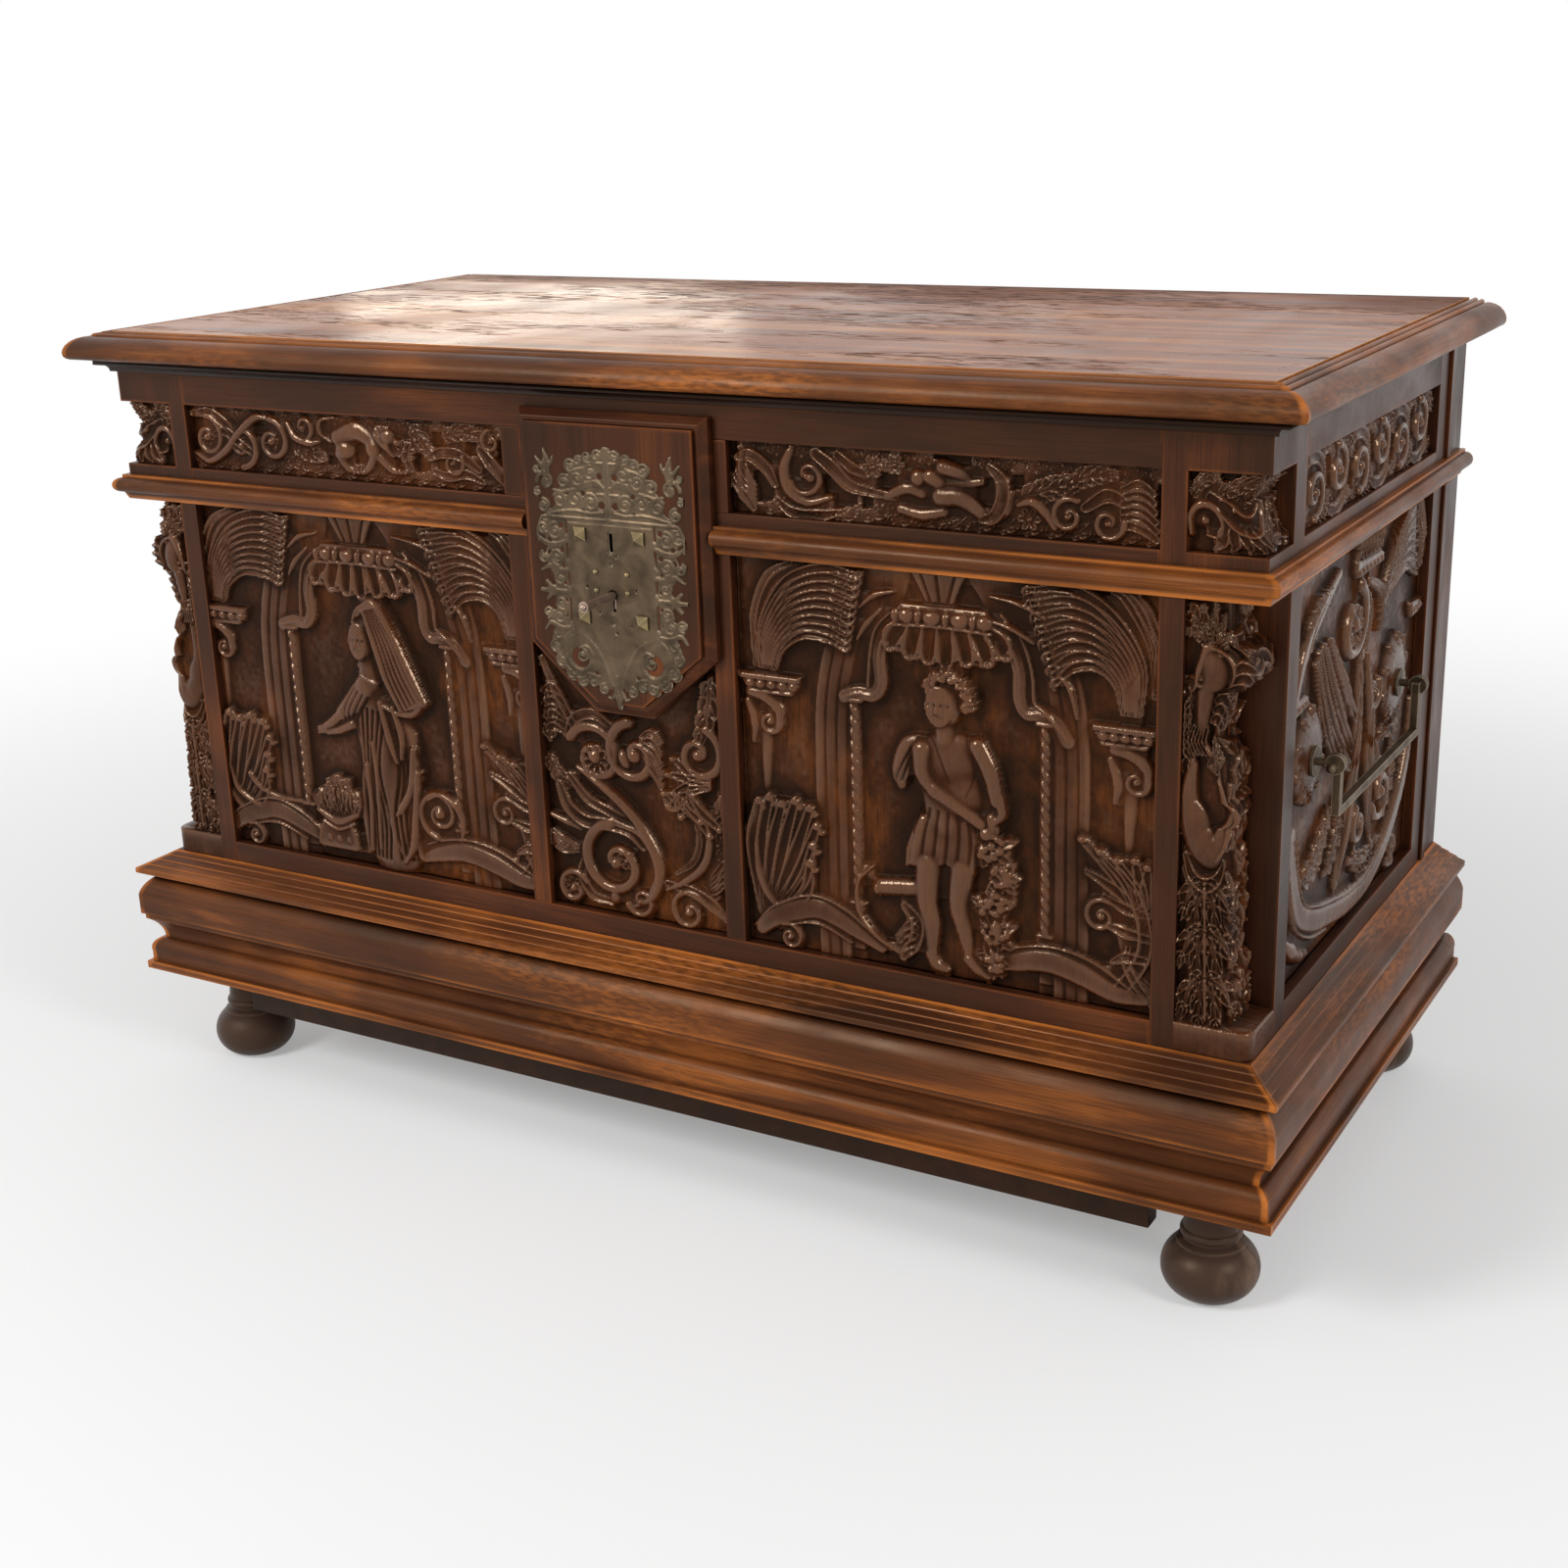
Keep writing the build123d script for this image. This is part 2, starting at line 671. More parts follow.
# the lobed arch's outline, in from the colonnette's middle and up from its spring
arch_steps = ((-18, -4), (36, -4), (31, 30, 36, 60), (46, 84, 66, 94), (54, 112), (26, 92, 17, 60),
              (17, 16), (-18, 16))
end_limbs = (
    (bold_relief, ((-145, 355, 9), (-103, 279, 24), (-28, 202, 16))),           # trailing ribbons
    (bold_relief, ((7, 327, 7), (2, 277, 14), (-2, 207, 17), (-22, 117, 15), (-52, 57, 6))),
    (bold_relief, ((38, 307, 6), (48, 257, 12), (60, 207, 13), (64, 137, 12), (88, 67, 6))),
    (bold_relief, ((95, 365, 8), (140, 400, 17), (196, 412, 22))),              # ridge of the plume
)
end_shapes = (
    (leaf_relief, ((-247, 187), (2, 5, 247, 187), (215, 187), (2, 33, -215, 187))),   # oval band
    (leaf_relief, ((-244, 307), (-198, 402, -92, 439), (-94, 419), (-178, 382, -220, 307))),
    (leaf_relief, ((-32, 407), (74, 407), (80, 452), (-38, 452))),              # crown
    (leaf_relief, ((76, 357), (118, 425, 212, 452), (232, 372), (140, 380, 88, 347))),  # plume
    (leaf_relief, ((212, 452), (252, 452), (252, 366), (232, 366))),
    (leaf_relief, ((-203, 367), (-176, 402, -132, 411), (-160, 376, -203, 367))),
    (leaf_relief, ((8, 67), (63, 80, 118, 55), (63, 42, 8, 67))),
    (leaf_relief, ((118, 87), (124, 132, 164, 157), (158, 112, 118, 87))),
    (leaf_relief, ((-182, 107), (-149, 149, -97, 153), (-130, 111, -182, 107))),
    (leaf_relief, ((-92, 87), (-90, 130, -54, 157), (-56, 114, -92, 87))),
    (leaf_relief, ((-250, 303), (-200, 303), (-200, 322), (-250, 322))),        # ledges
    (leaf_relief, ((212, 307), (250, 307), (250, 327), (212, 327))),
)
end_bosses = ((-30, 357, 45), (60, 257, 24), (28, 107, 26), (120, 122, 32))


def raised(height, steps):
    """A flat-topped mass inside an outline."""
    return Pos(0, 0, -carving_root) * extrude(outline(*steps), amount=carving_root + height, dir=(0, 0, 1))


def strip(x0, x1, z0, z1):
    return (x0, z0), (x1, z0), (x1, z1), (x0, z1)


def boss(x, z, radius, height, flat=0.0):
    """A round swelling in two slopes, with a flat top of at least a given radius."""
    rim = radius - flat
    section = outline((0, -carving_root), (radius, -carving_root), (radius, 0),
                      (flat + rim * boss_shoulder, height * (1 - boss_slope)),
                      (flat + rim * boss_slope, height), (0, height))
    return Pos(x, z, 0) * revolve(Plane.XZ * section, axis=Axis.Z)


def limb(height, joints):
    """Tapered masses with sloped sides that run from joint to joint."""
    pieces = []
    for (x0, z0, w0), (x1, z1, w1) in zip(joints, joints[1:]):
        along = atan2(z1 - z0, x1 - x0)
        side = acos((w0 - w1) / hypot(x1 - x0, z1 - z0))

        def rim(x, z, width, angle):
            return x + width * cos(angle), z + width * sin(angle)
        shape = outline(rim(x0, z0, w0, along - side), rim(x1, z1, w1, along - side),
                        (*rim(x1, z1, w1, along), *rim(x1, z1, w1, along + side)),
                        rim(x0, z0, w0, along + side),
                        (*rim(x0, z0, -w0, along), *rim(x0, z0, w0, along - side)))
        slope = degrees(atan(limb_slope * min(w0, w1) / (carving_root + height)))
        pieces.append(Pos(0, 0, -carving_root) * extrude(shape, amount=carving_root + height, taper=slope))
    return pieces


def moved(limbs, shapes, bosses, x, z):
    """Carved masses from their tables, set with their own zero at a place on the panel."""
    masses = []
    for height, joints in limbs:
        masses += limb(height, [(x + u, z + v, width) for u, v, width in joints])
    for height, steps in shapes:
        masses.append(Pos(x, z, 0) * raised(height, steps))
    for u, v, radius in bosses:
        masses.append(boss(x + u, z + v, radius, leaf_relief))
    return masses


def arcade_side(edge, middle, half_width_in, side):
    """One side of a niche: colonnette, reeds, lobed arch, capital, bracket and plume."""
    foot, spring = panel_bottom + colonnette_foot, panel_top - spring_drop
    shaft = middle + side * (half_width_in + colonnette_radius)
    round_shaft = Plane(origin=(shaft, foot, leaf_relief - colonnette_radius), z_dir=(0, 1, 0)) * Cylinder(
        colonnette_radius, spring - foot, align=(Align.CENTER, Align.CENTER, Align.MIN))
    plinth = strip(shaft - colonnette_radius, shaft + colonnette_radius, panel_bottom + carving_foot, foot)
    masses = [round_shaft, raised(low_relief, plinth)]
    for k in range(reed_count):
        reed = shaft + side * (reed_gap + k * reed_pitch)
        masses.append(raised(low_relief, strip(reed - reed_width / 2, reed + reed_width / 2,
                                               panel_bottom + carving_foot, spring)))
    masses.append(raised(leaf_relief, [
        tuple(shaft - side * value if k % 2 == 0 else spring + value for k, value in enumerate(step))
        for step in arch_steps]))
    # capital at the panel's edge, over a scrolled bracket
    top = panel_top - capital_drop
    inner = edge - side * capital_length
    masses.append(raised(bold_relief, strip(*sorted((edge, inner)), top - capital_slab, top)))
    neck = inner + side * capital_neck_setback
    masses.append(raised(leaf_relief, strip(*sorted((edge, neck)), top - capital_slab - capital_neck,
                                            top - capital_slab / 2)))
    scroll, scroll_z = edge - side * bracket_setback, top - bracket_drop
    masses.append(boss(scroll, scroll_z, bracket_radius, leaf_relief))
    masses.append(raised(low_relief, (
        (scroll - bracket_radius / 2, scroll_z), (scroll - bracket_radius / 4, scroll_z - bracket_tail),
        (scroll + bracket_radius / 4, scroll_z - bracket_tail), (scroll + bracket_radius / 2, scroll_z))))
    # plume that springs from the capital and bows over to the arch, and its ridge
    root, tip = edge - side * plume_root_setback, middle + side * half_width_in
    high, low = panel_top - plume_drop, panel_top - plume_fall
    reach, rise = tip - root, high - top
    masses.append(raised(leaf_relief, (
        (root, top - capital_slab / 2), (root + reach * 0.22, top + rise * 0.8, tip, high),
        (tip + side * plume_width / 2, low),
        (root - side * plume_width + (reach + side * plume_width) * 0.4, low + plume_drop / 2,
         root - side * plume_width, top - capital_slab / 2))))
    masses.append(raised(bold_relief, (
        (root - side * plume_width / 5, top + plume_drop),
        (root + reach * 0.28, top + rise * 0.68, tip + side * plume_width / 4, high - 2 * plume_drop),
        (tip + side * plume_width / 3, (high + low) / 2),
        (root + reach * 0.44, top + rise * 0.47, root - side * plume_width * 0.8, top + plume_drop))))
    return masses


def niche_crown(middle):
    """Keystone, beaded cushion and scalloped valance at the head of a niche."""
    cushion_top = panel_top - keystone_height
    cushion_foot = cushion_top - cushion_height
    masses = [raised(leaf_relief, ((middle - keystone_half_foot, cushion_top),
                                   (middle + keystone_half_foot, cushion_top),
                                   (middle + keystone_half_top, panel_top),
                                   (middle - keystone_half_top, panel_top)))]
    rim = cushion_height / 4
    masses.append(raised(bold_relief, (
        (middle - cushion_half_width + rim, cushion_top), (middle - cushion_half_width, cushion_top - 2 * rim),
        (middle - cushion_half_width + rim, cushion_foot), (middle + cushion_half_width - rim, cushion_foot),
        (middle + cushion_half_width, cushion_top - 2 * rim), (middle + cushion_half_width - rim, cushion_top))))
    pitch = 2 * cushion_bead_radius
    for k in range(cushion_beads):
        x = middle + (k - (cushion_beads - 1) / 2) * pitch
        masses.append(boss(x, cushion_top - cushion_height / 2, cushion_bead_radius, crest_relief))
    valance_foot = cushion_foot - valance_height
    half = cushion_half_width - rim / 2
    width = 2 * half / valance_scallops
    steps = [(middle - half, cushion_foot + rim), (middle + half, cushion_foot + rim),
             (middle + half, valance_foot)]
    for k in range(valance_scallops):
        x = middle + half - k * width
        steps.append((x - width / 2, valance_foot - valance_scallop_drop, x - width, valance_foot))
    masses.append(raised(valance_relief, steps))
    return masses


def foot_leaves(x0, x1, middle):
    """The acanthus and the corner leaf at a panel's foot, with a bare ribbon under each."""
    z = panel_bottom
    return [
        raised(leaf_relief, ((x0 + 14, z + 39), (x0 + 6, z + 110, x0 + 20, z + 176), (x0 + 92, z + 178),
                             (x0 + 84, z + 105, x0 + 40, z + 35))),
        raised(leaf_relief, ((x1, z + 12), (x1, z + 172), (x1 - 22, z + 174), (x1 - 82, z + 186),
                             (x1 - 46, z + 142, x1 - 50, z + 100), (x1 - 30, z + 60, x1 - 42, z + 19))),
        raised(leaf_relief, ((x0 + 6, z + carving_foot), (x0 + 84, z + 65, x0 + 174, z + carving_foot),
                             (x0 + 148, z + carving_foot), (x0 + 84, z + 40, x0 + 34, z + carving_foot))),
        raised(leaf_relief, ((middle + 44, z + carving_foot), ((middle + x1) / 2 + 17, z + 58, x1 - 10, z + carving_foot),
                             (x1 - 34, z + carving_foot),
                             ((middle + x1) / 2 + 17, z + 32, middle + 70, z + carving_foot))),
        boss(x0 + 56, z + 20, bracket_radius, bold_relief),
        boss(x1 - 59, z + 103, bracket_radius, bold_relief)]


def niche_carving(x0, x1, half_width_in):
    """All that frames the figure on a front panel."""
    middle = (x0 + x1) / 2 + niche_shift
    masses = arcade_side(x0, middle, half_width_in, -1) + arcade_side(x1, middle, half_width_in, 1)
    return masses + niche_crown(middle) + foot_leaves(x0, x1, middle)


def carved(panel, masses, plane, x0, x1, z0, z1):
    """A sunk panel with its carving, mass by mass, cut to the edges of the field."""
    depth = carving_root + crest_relief
    field = plane * Pos((x0 + x1) / 2, (z0 + z1) / 2, crest_relief - depth / 2) * Box(
        x1 - x0, z1 - z0, depth)
    for mass in masses:
        panel += (plane * mass) & field
    return panel


# ---------------------------------------------------------------- panels
def front_panel(x0, x1, z0, z1, masses=()):
    """A panel with its tongue in the grooves. Its field stands forward, or is sunk round its carving."""
    back_face = front + panel_setback + panel_thickness
    ground = back_face - tongue_thickness
    panel = block(x0 - tongue_length, x1 + tongue_length, ground, back_face,
                  z0 - tongue_length, z1 + tongue_length)
    if masses:
        return carved(panel, masses, front_plane(ground), x0, x1, z0, z1)
    return panel + block(x0, x1, front + panel_setback, back_face, z0, z1)


def youth_panel(x0, x1, z0, z1):
    middle = (x0 + x1) / 2 + niche_shift
    figure = moved(youth_limbs, (), youth_bosses, middle, z0)
    return front_panel(x0, x1, z0, z1, niche_carving(x0, x1, niche_half_width_right) + figure)


def woman_panel(x0, x1, z0, z1):
    middle = (x0 + x1) / 2 + niche_shift
    figure = moved(woman_limbs, brazier_shapes, woman_bosses, middle, z0)
    return front_panel(x0, x1, z0, z1, niche_carving(x0, x1, niche_half_width_left) + figure)


def end_panel(low, high, masses=()):
    back_face = half_width - panel_setback - panel_thickness
    ground = back_face + tongue_thickness
    panel = block(back_face, ground, end_front - tongue_length,
                  end_back + tongue_length, low - tongue_length, high + tongue_length)
    if masses:
        face = Plane(origin=(ground, 0, 0), x_dir=(0, 1, 0), z_dir=(1, 0, 0))
        panel = carved(panel, masses, face, end_front, end_back, low, high)
    else:
        panel += block(back_face, half_width - panel_setback, end_front, end_back, low, high)
    if low < handle_height < high:
        for y in eye_y:
            panel -= rod(stem_radius, (0, y, handle_height), (half_width, y, handle_height))
    return panel


def end_carving():
    """Masses of an end panel, with a flat-topped boss that carries each eye of the handle."""
    middle = (end_front + end_back) / 2
    eye_bosses = [boss(y, handle_height, eye_boss_radius, bold_relief, rose_radius + eye_boss_margin)
                  for y in eye_y]
    return moved(end_limbs, end_shapes, end_bosses, middle, panel_bottom) + eye_bosses


def apron_shape(lower=0.0):
    """The board behind the lock, whose lower edge is a blunt V."""
    point = apron_point_width / 2
    return outline(
        (-muntin_inner, panel_top), (-muntin_inner, apron_shoulder - lower),
        (-point, apron_tip - lower), (point, apron_tip - lower),
        (muntin_inner, apron_shoulder - lower), (muntin_inner, panel_top))


def centre_apron():
    """The boards that carry the lock board: the V-shaped apron, and the piece in the frieze over it."""
    board = extrude(front_plane(inner_front) * apron_shape(), amount=frame_thickness)
    back_face = front + panel_setback + panel_thickness
    groove = extrude(front_plane(back_face) * apron_shape(), amount=tongue_thickness)
    groove -= extrude(front_plane(back_face) * apron_shape(-tongue_length - groove_clearance),
                      amount=tongue_thickness)
    head = block(-muntin_inner, muntin_inner, front, inner_front, frieze_bottom, frieze_top)
    return [board - groove, head]


def centre_panel():
    """The middle panel, whose head follows the V of the apron over it."""
    back_face = front + panel_setback + panel_thickness
    field = front_panel(-muntin_inner, muntin_inner, panel_bottom, apron_shoulder)
    tongue = extrude(front_plane(back_face) * apron_shape(-tongue_length), amount=tongue_thickness)
    front_cut = extrude(front_plane(back_face - tongue_thickness) * apron_shape(),
                        amount=panel_thickness)
    keep = block(-muntin_outer, muntin_outer, front, back_face, 0, apron_shoulder)
    return (field - tongue - front_cut) & keep


# ---------------------------------------------------------------- carved corner blocks
def pilaster_silhouette():
    """The outer edge of the corner carving, seen from the front: foot, leafy shaft, knob, scroll,
    neck, volute and crown."""
    edge = half_width
    foot_top = ledge_top + pilaster_foot_height
    volute_top = panel_top - crown_height
    neck_top = volute_top - volute_height
    scroll_top = neck_top - neck_height
    knob_top = scroll_top - scroll_height
    knob_bottom = knob_top - knob_height
    return outline(
        (block_inner, ledge_top), (edge, ledge_top), (edge, foot_top),
        (edge - shaft_foot_setback, foot_top), (edge - shaft_top_setback, knob_bottom),
        (edge - knob_setback, (knob_bottom + knob_top) / 2, edge - shaft_top_setback, knob_top),
        (edge - scroll_setback, (knob_top + scroll_top) / 2, edge - neck_setback, scroll_top),
        (edge - volute_foot_setback, neck_top),
        (edge - volute_setback, (neck_top + volute_top) / 2, edge - crown_setback, volute_top),
        (edge - crown_setback, panel_top), (block_inner, panel_top))


def frieze_silhouette():
    """The outer edge of the carved block over the string moulding, hollowed to a waist."""
    edge = half_width
    foot_top = frieze_bottom + frieze_foot_height
    waist = frieze_bottom + frieze_waist_height
    step = edge - frieze_waist_setback + frieze_step
    return outline(
        (block_inner, frieze_bottom), (edge, frieze_bottom), (edge, foot_top),
        ((edge + step) / 2 - frieze_flare, (foot_top + waist) / 2, step, waist),
        (edge - frieze_waist_setback, waist), (edge, frieze_top), (block_inner, frieze_top))


def corner_block(silhouette, low, high):
    """A carved block set into the corner post, its outline running from the front back along the end."""
    along_front = block(block_inner, half_width, front, front + block_thickness, low, high)
    along_end = block(half_width - block_thickness, half_width, front, front + block_return, low, high)
    carving = extrude(front_plane(front + block_return) * silhouette, amount=block_return)
    return (along_front + along_end) & carving


# ---------------------------------------------------------------- applied mouldings
def string_front():
    whole = front_moulding(string_section(), string_overhang, 0)
    edge = plaque_half_width + plaque_moulding_width
    gap = block(lock_centre - edge, lock_centre + edge, front - string_overhang, front, panel_top, string_top)
    return list((whole - gap).solids())


def side_beads():
    y1 = back - side_bead_inset
    y0 = y1 - side_bead_width
    pieces = []
    for low, high in ((ledge_top, panel_top), (string_top, carcass_top)):
        bead = block(half_width, half_width + side_bead_thickness, y0, y1, low, high)
        pieces += [bead, mirrored(bead)]
    return pieces


# ---------------------------------------------------------------- lid
def lid_boards():
    pitch = carcass_depth / lid_board_count
    pieces = []
    for row in range(lid_board_count):
        y0 = front + pitch * row
        y1 = y0 + pitch - (board_gap if row < lid_board_count - 1 else 0)
        pieces.append(block(-half_width, half_width, y0, y1, lid_board_bottom, lid_top))
    return pieces


def lid_under_frame():
    section = lid_under_section()
    side = end_moulding(section, under_overhang, under_inner, back)
    reach = half_width - under_inner
    rear = block(-reach, reach, back - under_inner, back, lid_bottom, lid_board_bottom)
    return [front_moulding(section, under_overhang, under_inner), side, mirrored(side), rear]


def lid_battens():
    """Cross battens that hold the lid's boards together, inside the under-frame."""
    y0 = front + under_inner + lid_batten_clearance
    y1 = back - under_inner - lid_batten_clearance
    x = half_width - hinge_inset
    batten = block(x - lid_batten_width / 2, x + lid_batten_width / 2, y0, y1, lid_bottom, lid_board_bottom)
    return [batten, mirrored(batten)]


# ---------------------------------------------------------------- lock board and plate
def shield(grow=0.0):
    """The lock board's outline, or one that is larger all round by the moulding's width."""
    side, flat = plaque_half_width, plaque_flat / 2
    board = outline(
        (lock_centre - side, plaque_top), (lock_centre - side, plaque_shoulder),
        (lock_centre - flat, plaque_tip), (lock_centre + flat, plaque_tip),
        (lock_centre + side, plaque_shoulder), (lock_centre + side, plaque_top))
    return offset(board, amount=grow, kind=Kind.INTERSECTION) if grow else board


def lock_mortise():
    return block(lock_centre - case_left, lock_centre + case_right, plaque_front, case_back,
                 key_height - case_below_key, slit_height + case_above_slit)


def stud_places():
    return [(lock_centre + side * stud_offset, key_height + row) for side in (-1, 1) for row in stud_rows]


def lock_plaque():
    board = extrude(front_plane(front) * shield(), amount=plaque_projection) - lock_mortise()
    for x, z in stud_places():
        board -= rod(stud_shank_radius, (x, plaque_front, z), (x, plaque_front + stud_shank_length, z))
    return board


def plaque_moulding():
    ring = extrude(front_plane(front) * shield(plaque_moulding_width), amount=plaque_moulding_height)
    face = ring.faces().sort_by(Axis.Y)[0]
    ring = chamfer(face.edges(), plaque_chamfer)
    return ring - extrude(front_plane(front) * shield(), amount=plaque_projection)


def plate_half():
    """Right half of the lock plate's edge, from the crest to the tip, across and down: points,
    and arcs as the point they pass and the point where they end."""
    edge = [(crest_half_width / 2, crest_drop / 2 - crest_rise, crest_half_width, crest_drop),
            (crest_half_width, valley_drop), (ear_inner, valley_drop),
            ((ear_inner + ear_tip) / 2 + ear_hollow, (valley_drop + ear_tip_drop) / 2, ear_tip, ear_tip_drop),
            ((ear_tip + ear_outer) / 2 + ear_hollow, (valley_drop + ear_tip_drop) / 2,
             ear_outer, valley_drop),
            (border_half_width, valley_drop + (ear_outer - border_half_width))]
    start = edge[-1][1]
    lobe = (border_drop - start) / border_lobes
    for row in range(border_lobes):
        edge.append((border_half_width + border_lobe, start + lobe * (row + 1 / 2),
                     border_half_width, start + lobe * (row + 1)))
    for x, drop in ((lower_lobe_width, lower_lobe_drop), (tip_lobe_width, tip_lobe_drop)):
        x0, drop0 = edge[-1][-2:]
        edge.append(((x0 + x) / 2 + border_lobe, (drop0 + drop) / 2 + border_lobe, x, drop))
    return edge + [(tip_neck, tip_neck_drop)]


def plate_shape():
    """The lock plate's outline: crest, two ears, scrolled borders and a pointed tip."""
    right = [(0, 0), *plate_half(), (0, plate_length)]
    left = []
    for index in range(len(right) - 2, 0, -1):
        step, end = right[index + 1], right[index][-2:]
        left.append((*step[:2], *end) if len(step) == 4 else end)
    left.append((*right[1][:2], 0, 0))
    place = [[(lock_centre + side * x, plate_top - drop) for x, drop in zip(step[::2], step[1::2])]
             for side, steps in ((1, right), (-1, left)) for step in steps]
    return outline(*[sum(points, ()) for points in place])


def keyhole():
    hole = rod(keyhole_radius, (lock_centre, key_tip, key_height), (lock_centre, front, key_height))
    slot = block(lock_centre - keyhole_slot_width / 2, lock_centre + keyhole_slot_width / 2, key_tip, front,
                 key_height - keyhole_slot_length, key_height)
    return hole + slot


def lock_plate():
    plate = extrude(front_plane(plaque_front) * plate_shape(), amount=plate_thickness)
    plate -= block(lock_centre - slit_width / 2, lock_centre + slit_width / 2, plate_front, plaque_front,
                   slit_height - slit_length / 2, slit_height + slit_length / 2)
    plate -= keyhole()
    for x, z in stud_places():
        plate -= rod(stud_shank_radius, (x, plate_front, z), (x, plaque_front, z))
    return plate


def plate_studs():
    """Pyramid-headed studs through the plate into the lock board, and small domed rivets."""
    pieces = []
    for x, z in stud_places():
        head = Box(stud_base, stud_base, stud_base_thickness, align=(Align.CENTER, Align.CENTER, Align.MIN))
        base = Plane.XY.offset(stud_base_thickness) * Rectangle(stud_base, stud_base)
        tip = Plane.XY.offset(stud_base_thickness + stud_rise) * Rectangle(stud_tip, stud_tip)
        head += loft([base, tip])
        stud = Plane(origin=(x, plate_front, z), x_dir=(1, 0, 0), z_dir=(0, -1, 0)) * head
        stud += rod(stud_shank_radius, (x, plate_front, z), (x, plaque_front + stud_shank_length, z))
        pieces.append(stud)
    for row in rivet_rows:
        z = key_height + row
        for side in (-1, 1):
            x = lock_centre + side * rivet_offset
            dome = Sphere(rivet_radius) & block(-rivet_radius, rivet_radius, -rivet_radius, 0,
                                                -rivet_radius, rivet_radius)
            pieces.append(Pos(x, plate_front, z) * dome)
    return pieces


# ---------------------------------------------------------------- lock works
def lock_case():
    """An open iron tray behind the plate, with the pin that the hollow key turns on."""
    low, high = key_height - case_below_key, slit_height + case_above_slit
    left, right = lock_centre - case_left, lock_centre + case_right
    tray = block(left, right, plaque_front, case_back, low, high)
    tray -= block(left + case_wall, right - case_wall, plaque_front, case_back - case_wall,
                  low + case_wall, high - case_wall)
    pin_end = case_back - case_wall - key_pin_length
    return tray + rod(key_pin_radius, (lock_centre, pin_end, key_height),
                      (lock_centre, case_back - case_wall, key_height))


def bolt_plane():
    """The bolt slides on the back of the tray, across the bit's path."""
    return plaque_front + bit_depth + (bit_width - bolt_thickness) / 2


def lock_bolt():
    """A C-shaped iron bolt: a notched arm under the key, a spine, and a finger at the hasp slit."""
    y0 = bolt_plane()
    y1 = y0 + bolt_thickness
    cx, kz = lock_centre, key_height
    arm_top = kz - bolt_arm_top
    arm_bottom = arm_top - bolt_arm_height
    spine_right = cx + bolt_spine_left + bolt_spine_width
    finger_top = slit_height + bolt_finger_height / 2
    bolt = block(cx - bolt_arm_left, spine_right, y0, y1, arm_bottom, arm_top)
    bolt -= block(cx - bolt_notch_width / 2, cx + bolt_notch_width / 2, y0, y1,
                  kz - bit_reach - bolt_notch_clearance, arm_top)
    bolt += block(cx + bolt_spine_left, spine_right, y0, y1, arm_bottom, finger_top)
    bolt += block(cx + slit_width, spine_right, y0, y1, finger_top - bolt_finger_height, finger_top)
    return bolt


def bolt_guides():
    """Two staples on the tray's back that carry the bolt at its spine."""
    y0 = bolt_plane() + bolt_thickness + bolt_slide_gap
    spine = lock_centre + bolt_spine_left
    pieces = []
    for z in (slit_height - 2 * bolt_finger_height, key_height + bolt_finger_height / 2):
        pieces.append(block(spine - bolt_throw, spine + bolt_spine_width, y0, case_back - case_wall,
                            z, z + bolt_finger_height / 2))
    return pieces


def key():
    """A pipe key: hollow at the pin, with its bit hanging in the bolt's notch."""
    cx, kz = lock_centre, key_height
    inner_end = plaque_front + key_inside_length
    shank = rod(key_shank_radius, (cx, key_tip + key_tip_radius, kz), (cx, inner_end, kz))
    collar_start = key_tip + key_tip_radius
    shank += rod(key_collar_radius, (cx, collar_start, kz), (cx, collar_start + key_collar_length, kz))
    shank += Pos(cx, collar_start, kz) * Sphere(key_tip_radius)
    bit_start = plaque_front + bit_depth
    shank += block(cx - bit_thickness / 2, cx + bit_thickness / 2, bit_start, bit_start + bit_width,
                   kz - bit_reach, kz)
    bore_end = case_back - case_wall - key_pin_length - key_pin_end_gap
    return shank - rod(key_pin_radius + running_clearance, (cx, bore_end, kz), (cx, inner_end, kz))


# ---------------------------------------------------------------- handles
def handle():
    """The bail of the right-hand handle: square bar, square corners, round pivots through the eyes."""
    arm = eye_width / 2 + eye_gap + handle_bar / 2
    y0, y1 = eye_y[0] + arm, eye_y[1] - arm
    half = handle_bar / 2
    low = handle_height - handle_drop
    x0, x1 = pivot_x - half, pivot_x + half
    bail = block(x0, x1, y0 - half, y1 + half, low - half, low + half)
    for y, side in ((y0, -1), (y1, 1)):
        bail += block(x0, x1, y - half, y + half, low, handle_height + half)
        eye = y + side * arm
        tail = eye + side * (eye_width / 2 + pivot_tail)
        bail += rod(pivot_radius, (pivot_x, y, handle_height), (pivot_x, tail, handle_height))
        bail += Pos(pivot_x, tail, handle_height) * Sphere(pivot_ball_radius)
    return bail


def handle_mounts():
    """Iron eyes on round roses, their stems clenched over roves inside the end panels."""
    panel_face = half_width - panel_setback
    panel_back = panel_face - panel_thickness
    pieces = []
    for y in eye_y:
        centre = (pivot_x, y, handle_height)
        eye = rod(eye_radius, (pivot_x, y - eye_width / 2, handle_height),
                  (pivot_x, y + eye_width / 2, handle_height))
        eye += rod(stem_radius, (panel_back, y, handle_height), centre)
        eye += rod(rove_radius, (panel_back - rove_thickness, y, handle_height),
                   (panel_back, y, handle_height))
        eye += rod(rose_radius, (panel_face, y, handle_height),
                   (panel_face + rose_thickness, y, handle_height))
        eye -= rod(pivot_radius + running_clearance, (pivot_x, y - eye_width, handle_height),
                   (pivot_x, y + eye_width, handle_height))
        pieces += [eye, mirrored(eye)]
    return pieces


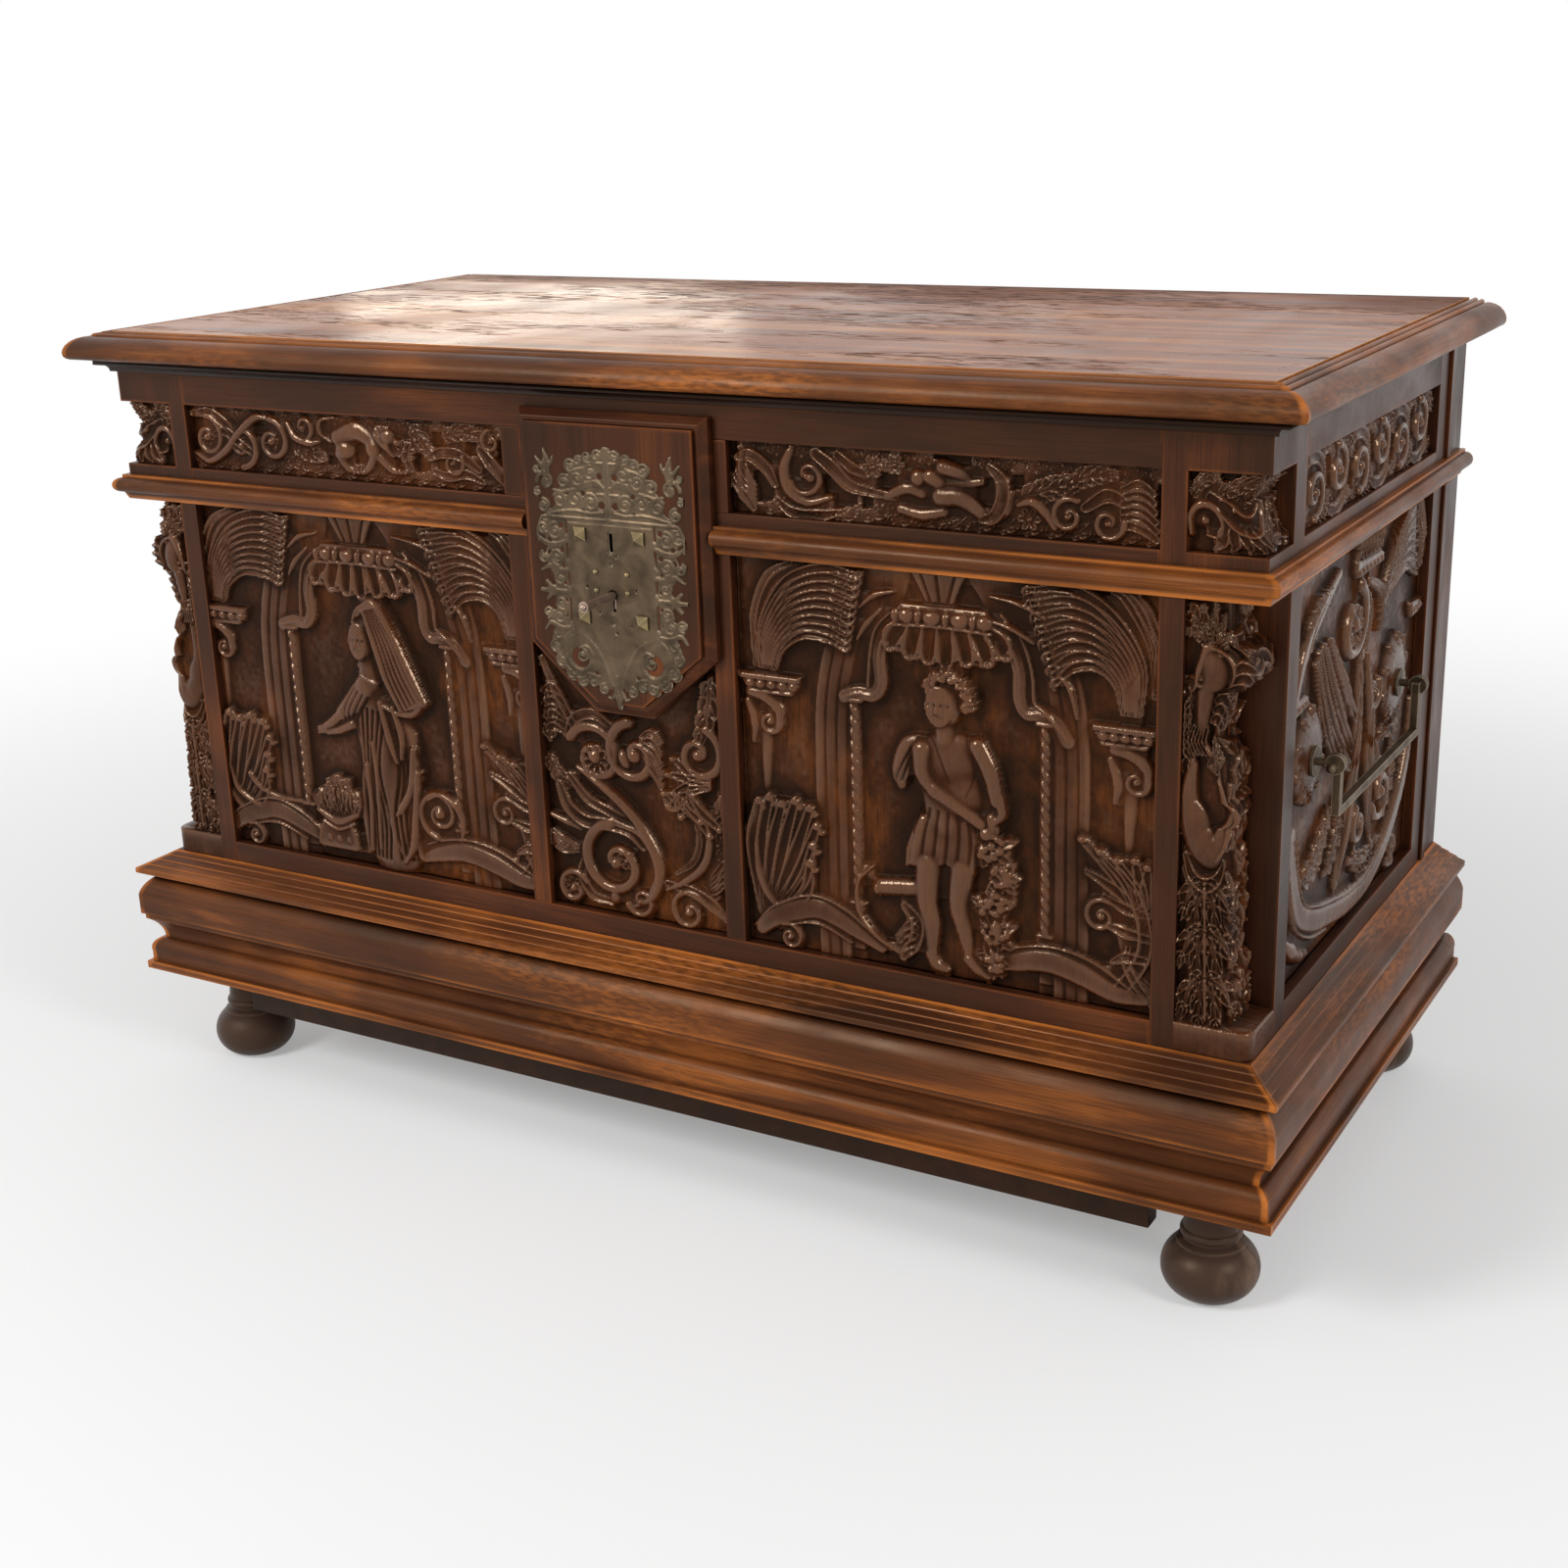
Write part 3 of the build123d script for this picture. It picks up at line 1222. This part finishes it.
# ---------------------------------------------------------------- hinges
def hinge_knuckles(x, segments):
    third = hinge_width / 3
    barrel = None
    for segment in segments:
        start = x - hinge_width / 2 + third * segment + knuckle_gap / 2
        piece = rod(knuckle_radius, (start, hinge_axis_y, hinge_axis_z),
                    (start + third - knuckle_gap, hinge_axis_y, hinge_axis_z))
        barrel = piece if barrel is None else barrel + piece
    return barrel


def hinge_leaf(x, segments, lower):
    """One leaf: a plate on the back, its knuckles, and notches that clear the other leaf's."""
    third = hinge_width / 3
    clear = knuckle_radius + knuckle_gap
    if lower:
        z0, z1 = hinge_axis_z - hinge_lower_length, hinge_axis_z - rest_gap / 2
    else:
        z0, z1 = hinge_axis_z + rest_gap / 2, hinge_axis_z + hinge_upper_length
    leaf = block(x - hinge_width / 2, x + hinge_width / 2, back, back + hinge_plate_thickness, z0, z1)
    for segment in (0, 1, 2):
        if segment not in segments:
            start = x - hinge_width / 2 + third * segment - knuckle_gap / 2
            leaf -= block(start, start + third + knuckle_gap, back, back + hinge_plate_thickness,
                          hinge_axis_z - clear, hinge_axis_z + clear)
    leaf += hinge_knuckles(x, segments)
    return leaf - rod(hinge_pin_radius + running_clearance, (x - hinge_width, hinge_axis_y, hinge_axis_z),
                      (x + hinge_width, hinge_axis_y, hinge_axis_z))


def hinge_pin(x):
    end = hinge_width / 2
    pin = rod(hinge_pin_radius, (x - end, hinge_axis_y, hinge_axis_z), (x + end, hinge_axis_y, hinge_axis_z))
    return pin + rod(pin_head_radius, (x - end - pin_head_length, hinge_axis_y, hinge_axis_z),
                     (x - end, hinge_axis_y, hinge_axis_z))


def hinge_places():
    return (-half_width + hinge_inset, half_width - hinge_inset)


# ---------------------------------------------------------------- the whole chest
def build():
    parts = {}
    for name, place in foot_places().items():
        parts[name] = foot(*place)
    parts["bottom_bearers"] = bottom_bearers()
    parts["bottom_board"] = bottom_board()

    parts["front_post_right"] = front_post()
    parts["front_post_left"] = mirrored(front_post())
    parts["back_posts"] = [back_post(), mirrored(back_post())]
    parts["front_bottom_rail"] = front_rail(plinth_bottom, panel_bottom)
    parts["front_middle_rail"] = front_rail(panel_top, frieze_bottom)
    parts["front_top_rail"] = front_rail(frieze_top, carcass_top)
    parts["front_muntins"] = muntins()
    parts["end_rails_right"] = end_rails()
    parts["end_rails_left"] = [mirrored(rail) for rail in end_rails()]
    parts["back_rails"] = back_rails()
    parts["back_boards"] = back_boards()

    field, frieze = front_fields()
    inner, outer, low, high = field
    parts["front_panel_right"] = youth_panel(*field)
    parts["front_panel_left"] = woman_panel(-outer, -inner, low, high)
    parts["frieze_panel_right"] = front_panel(*frieze)
    parts["frieze_panel_left"] = mirrored(front_panel(*frieze))
    parts["centre_panel"] = centre_panel()
    parts["centre_apron"] = centre_apron()
    parts["end_panel_right"] = end_panel(panel_bottom, panel_top, end_carving())
    parts["end_panel_left"] = mirrored(parts["end_panel_right"])
    end_frieze = end_panel(frieze_bottom, frieze_top)
    parts["end_friezes"] = [end_frieze, mirrored(end_frieze)]

    parts["pilaster_right"] = corner_block(pilaster_silhouette(), ledge_top, panel_top)
    parts["pilaster_left"] = mirrored(parts["pilaster_right"])
    parts["frieze_block_right"] = corner_block(frieze_silhouette(), frieze_bottom, frieze_top)
    parts["frieze_block_left"] = mirrored(parts["frieze_block_right"])

    for name, section, reach in (("plinth", plinth_section(), base_overhang),
                                 ("ledge", ledge_section(), base_overhang),
                                 ("string", string_section(), string_overhang)):
        side = end_moulding(section, reach, 0, back)
        parts[name + "_front"] = string_front() if name == "string" else front_moulding(section, reach, 0)
        parts[name + "_right"] = side
        parts[name + "_left"] = mirrored(side)
    parts["side_beads"] = side_beads()

    parts["lid_boards"] = lid_boards()
    lid_side = end_moulding(lid_edge_section(), lid_overhang, 0, back)
    parts["lid_edge_front"] = front_moulding(lid_edge_section(), lid_overhang, 0)
    parts["lid_edge_right"] = lid_side
    parts["lid_edge_left"] = mirrored(lid_side)
    parts["lid_under_frame"] = lid_under_frame()
    parts["lid_battens"] = lid_battens()

    parts["lock_plaque"] = lock_plaque()
    parts["plaque_moulding"] = plaque_moulding()
    parts["lock_plate"] = lock_plate()
    parts["plate_studs"] = plate_studs()
    parts["lock_case"] = [lock_case() + bolt_guides()[0] + bolt_guides()[1]]
    parts["lock_bolt"] = lock_bolt()
    parts["key"] = key()

    parts["handle_right"] = handle()
    parts["handle_left"] = mirrored(handle())
    parts["handle_mounts"] = handle_mounts()
    parts["hinge_lower_leaves"] = [hinge_leaf(x, (0, 2), True) for x in hinge_places()]
    parts["hinge_upper_leaves"] = [hinge_leaf(x, (1,), False) for x in hinge_places()]
    parts["hinge_pins"] = [hinge_pin(x) for x in hinge_places()]
    return parts


def as_compound(node):
    """A node as one compound of its separate solids."""
    pieces = node if isinstance(node, list) else [node]
    return Compound(children=[solid for piece in pieces for solid in piece.solids()])


os.makedirs("parts", exist_ok=True)
for node_name, node in build().items():
    export_step(as_compound(node), f"parts/{node_name}.step")
